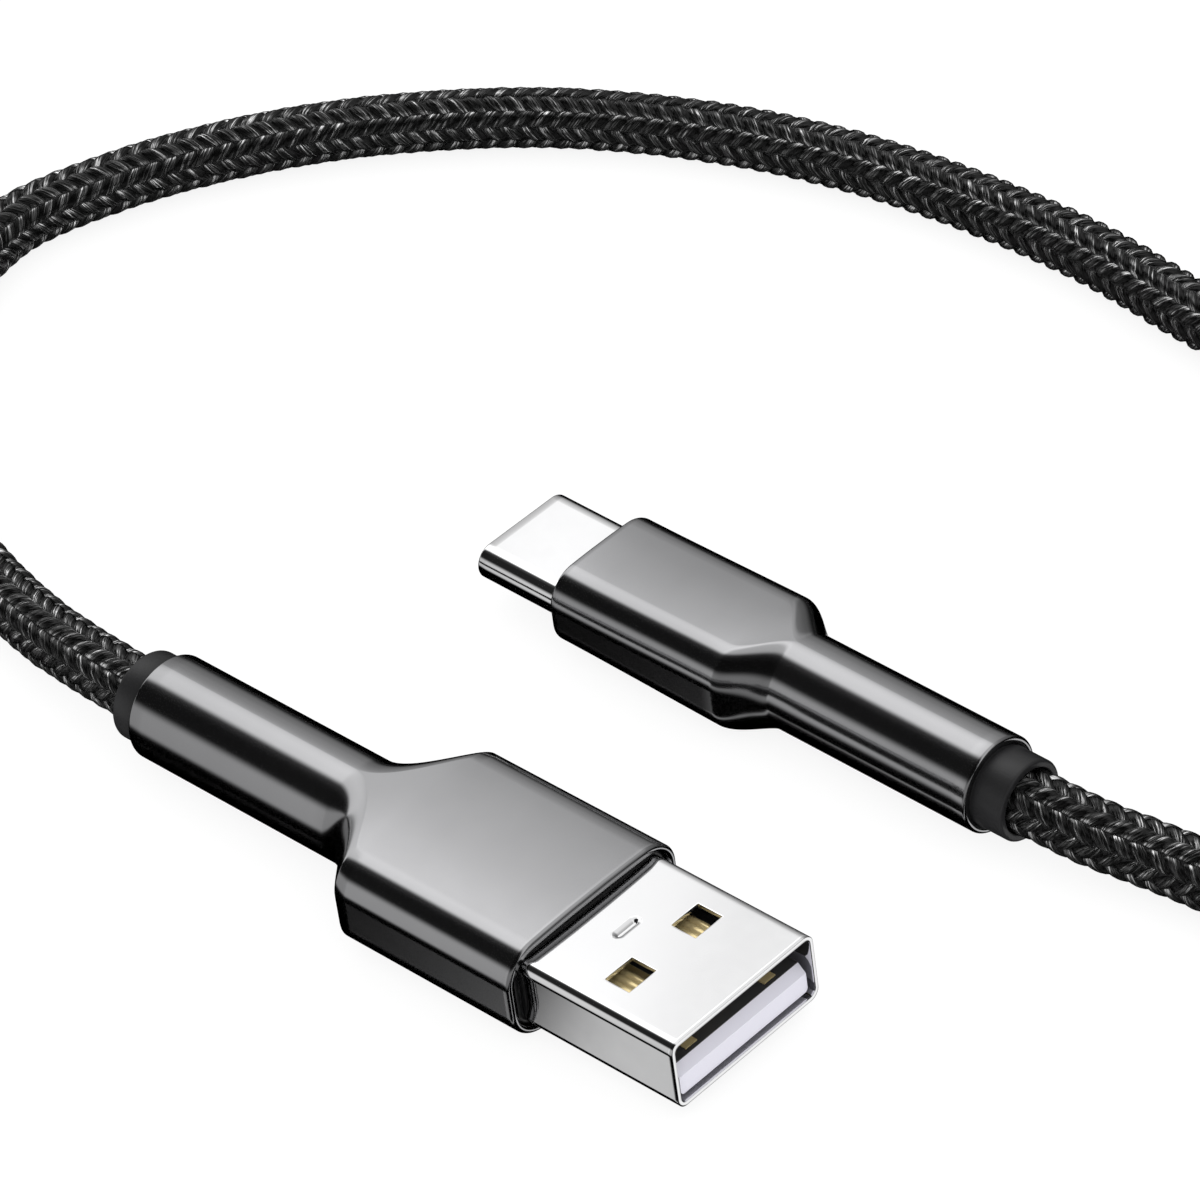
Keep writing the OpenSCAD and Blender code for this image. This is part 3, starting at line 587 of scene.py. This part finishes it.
def strap_piece():
    """The ribbon's line: an outline followed once and a little further, lifted by its own thickness
    where it meets its start."""
    coil_in = COIL_MID_R - COIL_PITCH * COIL_TURNS / 4
    inner_r = coil_in - CORD_D / 2
    slack = inner_r - math.sqrt(inner_r ** 2 - TIE_W ** 2 / 4) + FIT
    width = COIL_PITCH * COIL_TURNS / 2 + CORD_D + 2 * slack
    half = TIE_T / 2
    lap = rounded_outline(width + 2 * half, 2 * CORD_D + 2 * half, CORD_D / 2 - half, corner_steps=8,
                          stops=np.linspace(0.05, 0.95, 19))[0]
    columns = len(lap)
    line = lap[(FIRST_POINT + np.arange(columns + LAP_POINTS)) % columns]
    tangent = np.gradient(line, axis=0)
    outward = stacked(tangent[:, 1], -tangent[:, 0])
    outward /= np.linalg.norm(outward, axis=1)[:, None]
    lifted = ease(np.clip((np.arange(len(line)) - columns + RISE_POINTS) / RISE_POINTS, 0, 1))
    rise = lifted * (TIE_T + 0.04)
    line = line + outward * rise[:, None]
    across = np.array([-0.5, -0.47, -0.3, 0, 0.3, 0.47, 0.5]) * TIE_W
    points = MM * stacked(COIL_X + COIL_MID_R + line[:, 0][:, None], COIL_Y + across[None],
                          TIE_T + CORD_D + line[:, 1][:, None])
    run = np.concatenate([[0], np.cumsum(np.linalg.norm(np.diff(line, axis=0), axis=1))])
    uv = stacked(run[:, None], across[None]).reshape(-1, 2)
    piece = new_piece("hook_and_loop_strap", points, grid_faces(len(line), 7, False, False), uv=uv,
                      check_out=False)
    solid = piece.modifiers.new("ribbon", "SOLIDIFY")
    solid.thickness, solid.offset = (TIE_T - 0.02) * MM, 0
    bevel = piece.modifiers.new("soft_edge", "BEVEL")
    bevel.width, bevel.segments, bevel.limit_method = 0.12 * MM, 2, "ANGLE"
    return piece


strap = strap_piece()

# %% [markdown]
# ## Tell the frame what each piece is
# Every piece rides on the model's one body, stands for the plain CAD solid that it replaces, and names
# the material slot that it takes its finish from.

# %% Ride, replace, slot
PIECES = (
    (cord_jacket, None, "braid"), (plait_left, None, "braid"), (plait_right, None, "braid"),
    (usb_a_housing, "usb_a_housing", "gunmetal"), (usb_c_housing, "usb_c_housing", "gunmetal"),
    (usb_a_collar, "usb_a_collar", "grey_collar"), (usb_c_collar, "usb_c_collar", "grey_collar"),
    (usb_a_shell, "usb_a_shell", "nickel_shell"), (usb_c_shell, "usb_c_shell", "nickel_shell"),
    (usb_a_front, "usb_a_front_mould", "black_mould"), (usb_c_front, "usb_c_front_mould", "black_mould"),
    (usb_a_blades[0], None, "gold_contact"), (usb_a_blades[1], None, "gold_contact"),
    (strap, "coil_tie", "tie_strap"))
for piece, node, slot_name in PIECES:
    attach(piece, "root")
    if node:
        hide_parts(node)
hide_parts("cord_lead_a", "cord_coil", "cord_lead_c")

# %% [markdown]
# ## Node groups shared by the finishes
# Moulded plastic, plated metal and yarn differ in scale and strength, but they need the same two effects:
# a tone and a polish that wander a little over the surface, and a fine grain for the bump. Each is a node
# group with named sockets, so one change there reaches every finish. A few short helpers come first.

# %% The helpers and the two groups
def new_group(name, inputs, outputs):
    """An empty node group from (name, kind, value) rows, with the sockets that it gives and takes."""
    group = bpy.data.node_groups.new(name, "ShaderNodeTree")
    for rows, side in ((inputs, "INPUT"), (outputs, "OUTPUT")):
        for label, kind, value in rows:
            socket = group.interface.new_socket(label, in_out=side, socket_type=f"NodeSocket{kind}")
            if value is not None:
                socket.default_value = value
    return group, group.nodes.new("NodeGroupInput").outputs, group.nodes.new("NodeGroupOutput").inputs


def add_node(tree, kind, links=(), **settings):
    """A node with its settings; links are (input, source socket or value) pairs."""
    node = tree.nodes.new(kind)
    for key, value in settings.items():
        setattr(node, key, value)
    for key, source in links:
        if isinstance(source, bpy.types.NodeSocket):
            tree.links.new(source, node.inputs[key])
        else:
            node.inputs[key].default_value = source
    return node


def math_node(tree, operation, *values):
    """The result of a Math node on one to three values or sockets."""
    return add_node(tree, "ShaderNodeMath", list(enumerate(values)), operation=operation).outputs[0]


def map_range(tree, value, near, far, at_near=0.0, at_far=1.0):
    """The result of a Map Range node, which holds its ends outside the range from near to far."""
    return add_node(tree, "ShaderNodeMapRange", [
        ("Value", value), ("From Min", near), ("From Max", far), ("To Min", at_near),
        ("To Max", at_far)]).outputs["Result"]


def ramp_node(tree, factor, stops, smooth="EASE"):
    """A colour ramp of greys from (position, grey) stops."""
    node = add_node(tree, "ShaderNodeValToRGB", [("Fac", factor)])
    ramp = node.color_ramp
    ramp.interpolation = smooth
    while len(ramp.elements) < len(stops):
        ramp.elements.new(0.5)
    for element, (position, grey) in zip(ramp.elements, stops):
        element.position = position
        element.color = (grey, grey, grey, 1)
    return node


def tone_and_polish_group():
    """Base colour times one plus a slow noise, and roughness plus another, both centred on nought."""
    group, given, result = new_group(
        "tone_and_polish",
        [("Vector", "Vector", None), ("Colour", "Color", (0.5, 0.5, 0.5, 1)), ("Tone Spread", "Float", 0.1),
         ("Polish", "Float", 0.3), ("Polish Spread", "Float", 0.05), ("Scale", "Float", 400.0)],
        [("Colour", "Color", None), ("Roughness", "Float", None)])
    slow = add_node(group, "ShaderNodeTexNoise", [
        ("Vector", given["Vector"]), ("Scale", given["Scale"]), ("Detail", 4.0)])
    centred = math_node(group, "SUBTRACT", slow.outputs["Fac"], 0.5)
    spread = math_node(group, "MULTIPLY_ADD", centred, given["Tone Spread"], 1.0)
    tinted = add_node(group, "ShaderNodeVectorMath", [(0, given["Colour"])], operation="SCALE")
    group.links.new(spread, tinted.inputs["Scale"])
    fine_scale = math_node(group, "MULTIPLY", given["Scale"], 2.7)
    smudge = add_node(group, "ShaderNodeTexNoise", [
        ("Vector", given["Vector"]), ("Scale", fine_scale), ("Detail", 6.0), ("Distortion", 0.6)])
    shifted = math_node(group, "SUBTRACT", smudge.outputs["Fac"], 0.5)
    rough = math_node(group, "MULTIPLY_ADD", shifted, given["Polish Spread"], given["Polish"])
    group.links.new(tinted.outputs[0], result["Colour"])
    group.links.new(rough, result["Roughness"])
    return group


def fine_grain_group():
    """Height of a grain: a noise stretched by a vector, so that it can be specks or drawn lines."""
    group, given, result = new_group(
        "fine_grain",
        [("Vector", "Vector", None), ("Stretch", "Vector", (1, 1, 1)), ("Scale", "Float", 8000.0)],
        [("Height", "Float", None)])
    stretched = add_node(group, "ShaderNodeVectorMath", [
        (0, given["Vector"]), (1, given["Stretch"])], operation="MULTIPLY")
    grain = add_node(group, "ShaderNodeTexNoise", [
        ("Vector", stretched.outputs[0]), ("Scale", given["Scale"]), ("Detail", 3.0)])
    group.links.new(grain.outputs["Fac"], result["Height"])
    return group


TONE_AND_POLISH, FINE_GRAIN = tone_and_polish_group(), fine_grain_group()

# %% [markdown]
# ## One finish, many values
# A finish is a Principled BSDF whose colour and roughness come from the first group and whose bump comes
# from the second. Constants such as Metallic stay on the shader's own sockets. Distances in a bump are
# real ones: a moulded surface has a grain a few thousandths of a millimetre deep.

# %% Build a finish
def new_finish(name, colour, polish, metallic=0.0, tone_spread=0.15, polish_spread=0.06, scale=300.0,
               grain_scale=9000.0, grain_stretch=(1, 1, 1), grain_depth=0.004, **shader_values):
    """A material on Object coordinates; returns its tree, shader, groups and coordinates as well."""
    material = bpy.data.materials.new(name)
    material.use_nodes = True
    tree = material.node_tree
    tree.nodes.clear()
    place = add_node(tree, "ShaderNodeTexCoord")
    tone = add_node(tree, "ShaderNodeGroup", node_tree=TONE_AND_POLISH)
    grain = add_node(tree, "ShaderNodeGroup", node_tree=FINE_GRAIN)
    for group, values in ((tone, {"Colour": (*colour, 1), "Tone Spread": tone_spread, "Polish": polish,
                                  "Polish Spread": polish_spread, "Scale": scale}),
                          (grain, {"Stretch": grain_stretch, "Scale": grain_scale})):
        tree.links.new(place.outputs["Object"], group.inputs["Vector"])
        for key, value in values.items():
            group.inputs[key].default_value = value
    bump = add_node(tree, "ShaderNodeBump", [
        ("Height", grain.outputs["Height"]), ("Strength", 1.0), ("Distance", grain_depth * MM)])
    shader = add_node(tree, "ShaderNodeBsdfPrincipled", [
        ("Base Color", tone.outputs["Colour"]), ("Roughness", tone.outputs["Roughness"]),
        ("Normal", bump.outputs["Normal"]), ("Metallic", metallic)])
    for key, value in shader_values.items():
        shader.inputs[key.replace("_", " ").title().replace("Ior", "IOR")].default_value = value
    output = add_node(tree, "ShaderNodeOutputMaterial")
    tree.links.new(shader.outputs["BSDF"], output.inputs["Surface"])
    return material, tree, dict(shader=shader, tone=tone, grain=grain, bump=bump, place=place.outputs)


finishes = {}


def add_finishes(*rows):
    """Rows of slot, material name, colour, polish, and the values that differ from the defaults."""
    for slot_name, name, colour, polish, values in rows:
        finishes[slot_name] = new_finish(name, colour, polish, **values)[0]


# %% [markdown]
# ## The plated metals
# The housings are zinc with a dark gunmetal plating: a clear reflection, tinted grey. The shells are
# nickel: lighter and more polished, with faint lines along the stamped sheet. The small parts of steel,
# tin and solder inside are duller.

# %% Gunmetal, nickel, gold and steel
add_finishes(
    ("gunmetal", "gunmetal_plating", (0.31, 0.31, 0.316), 0.14,
     dict(metallic=1.0, tone_spread=0.08, polish_spread=0.03, grain_depth=0.0001)),
    ("nickel_shell", "bright_nickel", (0.74, 0.74, 0.745), 0.07,
     dict(metallic=1.0, tone_spread=0.04, polish_spread=0.03, grain_scale=5000.0,
          grain_stretch=(0.08, 1, 1), grain_depth=0.0001)),
    ("gold_contact", "gold_flash", (0.95, 0.77, 0.4), 0.3,
     dict(metallic=0.5, tone_spread=0.35, grain_stretch=(0.1, 1, 1), grain_depth=0.002)),
    ("spring_steel", "spring_steel", (0.62, 0.62, 0.62), 0.3,
     dict(metallic=1.0, grain_stretch=(0.1, 1, 1), grain_depth=0.002)),
    ("crimp_metal", "tinned_crimp", (0.62, 0.61, 0.6), 0.38,
     dict(metallic=1.0, tone_spread=0.25, grain_depth=0.003)),
    ("solder", "solder", (0.7, 0.7, 0.71), 0.34,
     dict(metallic=1.0, tone_spread=0.3, scale=1500.0, grain_depth=0.008)))

# %% [markdown]
# ## The plastics
# Collars, fronts, insulators and wires are moulded or extruded. What tells them apart up close is how
# deep and how coarse the grain is, and how much the polish wanders.

# %% Plastics and the board
add_finishes(
    ("grey_collar", "soft_collar", (0.017, 0.017, 0.018), 0.42,
     dict(specular_ior_level=0.4, tone_spread=0.3, grain_scale=7000.0, grain_depth=0.006)),
    ("black_mould", "black_mould", (0.006, 0.006, 0.0065), 0.33,
     dict(specular_ior_level=0.3, tone_spread=0.3, grain_depth=0.001)),
    ("black_insulator", "black_insulator", (0.018, 0.018, 0.02), 0.42, dict(grain_depth=0.003)),
    ("resistor_black", "resistor_body", (0.03, 0.03, 0.032), 0.45, dict(scale=3000.0)),
    ("core_jacket", "inner_jacket", (0.025, 0.025, 0.026), 0.45, dict(grain_depth=0.004)),
    *((f"wire_{name}", f"wire_insulation_{name}", colour, 0.36,
       dict(grain_stretch=(0.15, 1, 1), grain_depth=0.003))
      for name, colour in (("red", (0.55, 0.03, 0.025)), ("white", (0.8, 0.8, 0.78)),
                           ("green", (0.03, 0.33, 0.08)), ("black", (0.02, 0.02, 0.02)))))
# Tongue's top over the plug's axis, and how far under it the painted shade of its upper face begins, in mm
TONGUE_TOP, TONGUE_MARGIN = 0.1, 0.03


def second_colour(tree, parts, mask, colour):
    """Lays another colour over a finish's own where the mask is one."""
    mix = add_node(tree, "ShaderNodeMix", [
        (0, mask), (6, parts["tone"].outputs["Colour"]), (7, (*colour, 1))], data_type="RGBA")
    tree.links.new(mix.outputs[2], parts["shader"].inputs["Base Color"])


def insulator_finish():
    """Pale lilac plastic whose upper face is painted near black as shade: a step in height, just under the
    tongue's top.
    """
    material, tree, parts = new_finish(
        "lilac_tongue", (0.80, 0.79, 0.88), 0.35, tone_spread=0.05, grain_depth=0.002)
    height = add_node(tree, "ShaderNodeSeparateXYZ", [("Vector", parts["place"]["Object"])])
    top_face = (A_AXIS_Z + TONGUE_TOP - TONGUE_MARGIN) * MM
    # Painted shade: above this height the lilac is painted near black, standing in for the shade on the
    # tongue's top inside the shell.
    painted_shade_top = math_node(tree, "GREATER_THAN", height.outputs["Z"], top_face)
    second_colour(tree, parts, painted_shade_top, (0.05, 0.05, 0.052))
    return material


def board_finish():
    """Green solder mask over copper tracks: bands of a wave along the board, seen as a lighter green."""
    material, tree, parts = new_finish("green_board", (0.015, 0.13, 0.045), 0.28, grain_depth=0.003)
    wave = add_node(tree, "ShaderNodeTexWave", [
        ("Vector", parts["place"]["Object"]), ("Scale", 330.0), ("Distortion", 1.5)],
        bands_direction="Y")
    track = math_node(tree, "GREATER_THAN", wave.outputs["Fac"], 0.62)
    second_colour(tree, parts, track, (0.03, 0.24, 0.08))
    return material


finishes["lilac_plastic"] = insulator_finish()
finishes["board_green"] = board_finish()

# %% [markdown]
# ## The yarn and the strap
# Each float is a flat bundle of some twenty nylon filaments. They lie along the float, so stripes across
# its width, read from the float's own UV map, give them: as a bump, and as a polish that differs from
# filament to filament, which is what makes the plait glitter. The edges of a float lie in the gaps, and
# are painted black there as painted shade; its ends, where the yarn bends over, are painted more polished,
# a painted highlight.

# %% Yarn and strap finishes
def yarn_finish():
    """Noise on the float's UV, slow along the yarn and quick across it, is the filaments' height. Where
    it is high the filament is polished and mirrors the lights, as a metallic mask; the rest is black. In
    that mask the float's edges are lowered, painted shade of the gaps, and its ends raised, a painted
    highlight.
    It takes the place of the groups' colour and grain."""
    material, tree, parts = new_finish(
        "nylon_yarn", (0.02, 0.02, 0.021), 0.21, scale=900.0, specular_ior_level=0.25)
    stretch = add_node(tree, "ShaderNodeMapping", [
        ("Vector", parts["place"]["UV"]), ("Scale", (0.8, 8.0, 1.0))])
    strands = add_node(tree, "ShaderNodeTexNoise", [
        ("Vector", stretch.outputs[0]), ("Scale", 1.0), ("Detail", 2.0), ("Roughness", 0.6)])
    parts["bump"].inputs["Distance"].default_value = 0.1 * MM
    tree.links.new(strands.outputs["Fac"], parts["bump"].inputs["Height"])
    in_float = add_node(tree, "ShaderNodeVectorMath", [(0, parts["place"]["UV"])],
                        operation="FRACTION")
    uv = add_node(tree, "ShaderNodeSeparateXYZ", [("Vector", in_float.outputs[0])])
    polish_and_painted_light = strands.outputs["Fac"]
    # Across the float its edges are lowered, painted shade of the gaps between floats; along it its ends
    # are raised, a painted highlight where the yarn bends over.
    for way, *limits in (("Y", 0.12, 0.46, 0.03, -0.16), ("X", 0.24, 0.4, -0.03, 0.09)):
        off_middle = math_node(tree, "ABSOLUTE", math_node(tree, "SUBTRACT", uv.outputs[way], 0.5))
        polish_and_painted_light = math_node(tree, "ADD", polish_and_painted_light, map_range(tree, off_middle, *limits))
    dark_to_light = ramp_node(tree, polish_and_painted_light, [(0.46, 0.003), (0.58, 0.16), (0.7, 0.9)], "LINEAR")
    tree.links.new(dark_to_light.outputs["Color"], parts["shader"].inputs["Base Color"])
    tree.links.new(map_range(tree, polish_and_painted_light, 0.42, 0.56), parts["shader"].inputs["Metallic"])
    tree.nodes.remove(parts["grain"])
    return material


def strap_finish():
    """A brushed-loop pile: ribs across the ribbon from a wave along its length, under a fuzzy noise."""
    material, tree, parts = new_finish(
        "looped_pile", (0.009, 0.009, 0.01), 0.8, tone_spread=0.6, scale=2500.0, grain_scale=4000.0,
        specular_ior_level=0.2, sheen_weight=0.12, sheen_roughness=0.5)
    ribs = add_node(tree, "ShaderNodeTexWave", [
        ("Vector", parts["place"]["UV"]), ("Scale", 0.6), ("Distortion", 0.8), ("Detail", 1.0)],
        bands_direction="X")
    pile = math_node(tree, "ADD", ribs.outputs["Fac"], parts["grain"].outputs["Height"])
    parts["bump"].inputs["Distance"].default_value = 0.1 * MM
    tree.links.new(pile, parts["bump"].inputs["Height"])
    return material


finishes["braid"] = yarn_finish()
finishes["tie_strap"] = strap_finish()
inner_weave = new_finish(
    "jacket_under_plait", (0.008, 0.008, 0.009), 0.6, grain_scale=5000.0, grain_depth=0.03)[0]

# %% [markdown]
# ## Put the finishes on
# New pieces get their finish by slot, except that the jacket under the plait has a plain one of its own.
# The CAD nodes that stay, such as the wires and the solder inside the heads, keep their meshes and get the
# same finishes in their own material slots.

# %% Finishes on every piece
NODE_FINISHES = (
    ("front_mould", "black_mould"), ("neck_filler", "black_mould"), ("usb_a_insulator", "lilac_plastic"),
    ("usb_c_insulator", "black_insulator"), ("contact", "gold_contact"), ("side_latches", "spring_steel"),
    ("crimp_ring", "crimp_metal"), ("solder", "solder"),
    *((wire, wire) for wire in ("wire_red", "wire_white", "wire_green", "wire_black")),
    ("cable_core", "core_jacket"), ("usb_c_pcb", "board_green"), ("usb_c_resistor", "resistor_black"))
for piece, _, slot_name in PIECES:
    piece.data.materials.append(inner_weave if piece is cord_jacket else finishes[slot_name])
for node_name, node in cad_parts.items():
    for part_of_name, slot_name in NODE_FINISHES:
        if part_of_name in node_name:
            for material_slot in node.material_slots:
                material_slot.material = finishes[slot_name]
            break
print("materials:", len(bpy.data.materials))

# %% [markdown]
# ## The room
# Polished metal shows the room, not itself. A photographer lays long soft strip lights along the product,
# and the metal's curves turn them into bright and dark bands. Here the strips are painted in the world
# by two facts about a direction: its angle round the X axis, which runs along both plugs, and how far it
# points along X. Only reflections see them. Everything matt is lit by an even white sky instead.

# %% The world
# Angle round X from straight up towards the near side, in degrees, and how bright the room is there
STRIPS = ((-180, 0), (-92, 0), (-72, 0.22), (-54, 0.33), (-45, 0.4), (-38, 0.6), (-30, 0.95), (-22, 1),
          (0, 0.95), (13, 0.03), (28, 0.01), (56, 0.01), (74, 0.4), (110, 0.38), (123, 0), (180, 0))
# Share of a direction that points along +X, and what the overhead strip gives there
OVERHEAD = ((-1, 1.5), (-0.62, 1.6), (-0.595, 1.9), (-0.583, 2.6), (-0.565, 1.9), (-0.557, 2.3),
            (-0.543, 1.4), (-0.532, 2.2), (-0.5, 2.4), (-0.4, 1.2), (0.1, 1.05), (1, 1.2))
# Low cards beside the USB-A plug's tip and in front of it: by angle as above, then by share along +X
LOW_CARD = ((-180, 0), (-152, 0), (-148, 1), (-134, 1), (-130, 0), (140, 0), (141.5, 1), (147, 1),
            (148.5, 0), (180, 0))
CARD_FADE = ((-1, 0), (-0.5625, 0), (-0.5595, 0.72), (-0.5, 0.6), (0.2, 0.4), (0.5, 1.2), (1, 1))
BRIGHTEST = 2.6


def room():
    """The world: strips and cards for glossy rays, an even white sky for all others."""
    world = bpy.data.worlds.new("strip_lit_room")
    world.use_nodes = True
    world.cycles.sampling_method = "NONE"
    tree = world.node_tree
    tree.nodes.clear()
    direction = add_node(tree, "ShaderNodeSeparateXYZ", [
        ("Vector", add_node(tree, "ShaderNodeTexCoord").outputs["Generated"])])
    near = math_node(tree, "MULTIPLY", direction.outputs["Y"], -1.0)
    angle = math_node(tree, "ARCTAN2", near, direction.outputs["Z"])
    round_x = map_range(tree, angle, -math.pi, math.pi)
    along_x = map_range(tree, direction.outputs["X"], -1.0, 1.0)

    def by_angle(stops):
        return ramp_node(tree, round_x, [((a + 180) / 360, g) for a, g in stops]).outputs["Color"]

    def by_x(stops):
        return ramp_node(tree, along_x, [((x + 1) / 2, g / BRIGHTEST) for x, g in stops],
                         "LINEAR").outputs["Color"]

    strips = math_node(tree, "MULTIPLY", by_angle(STRIPS), by_x(OVERHEAD))
    lit = math_node(tree, "MULTIPLY_ADD", by_angle(LOW_CARD), by_x(CARD_FADE), strips)
    reflected = add_node(tree, "ShaderNodeBackground", [("Color", lit), ("Strength", BRIGHTEST)])
    sky = add_node(tree, "ShaderNodeBackground", [("Color", (1, 1, 1, 1)), ("Strength", 1.0)])
    ray = add_node(tree, "ShaderNodeLightPath")
    either = add_node(tree, "ShaderNodeMixShader", [
        (0, ray.outputs["Is Glossy Ray"]), (1, sky.outputs[0]), (2, reflected.outputs[0])])
    output = add_node(tree, "ShaderNodeOutputWorld")
    tree.links.new(either.outputs[0], output.inputs["Surface"])
    return world


scene.world = room()

# %% [markdown]
# ## The floor
# A plain white sweep. It gives back a little light of its own, so that the cable's shadow stays as faint
# as on a light table, and reflections don't see it, so that the metal's dark bands stay dark.

# %% The floor
FLOOR_HALF = 3.0
floor_corners = [[x * FLOOR_HALF, y * FLOOR_HALF, 0] for x, y in ((-1, -1), (1, -1), (1, 1), (-1, 1))]
floor = new_piece("studio_floor", floor_corners, np.array([[0, 1, 2, 3]]), check_out=False)
floor_material = bpy.data.materials.new("light_table")
floor_material.use_nodes = True
floor_shader = floor_material.node_tree.nodes["Principled BSDF"]
for socket, value in (("Base Color", (0.2, 0.2, 0.2, 1)), ("Roughness", 0.9), ("Specular IOR Level", 0.0),
                      ("Emission Color", (1, 1, 1, 1)), ("Emission Strength", 0.87)):
    floor_shader.inputs[socket].default_value = value
floor.data.materials.append(floor_material)
floor.visible_glossy = False
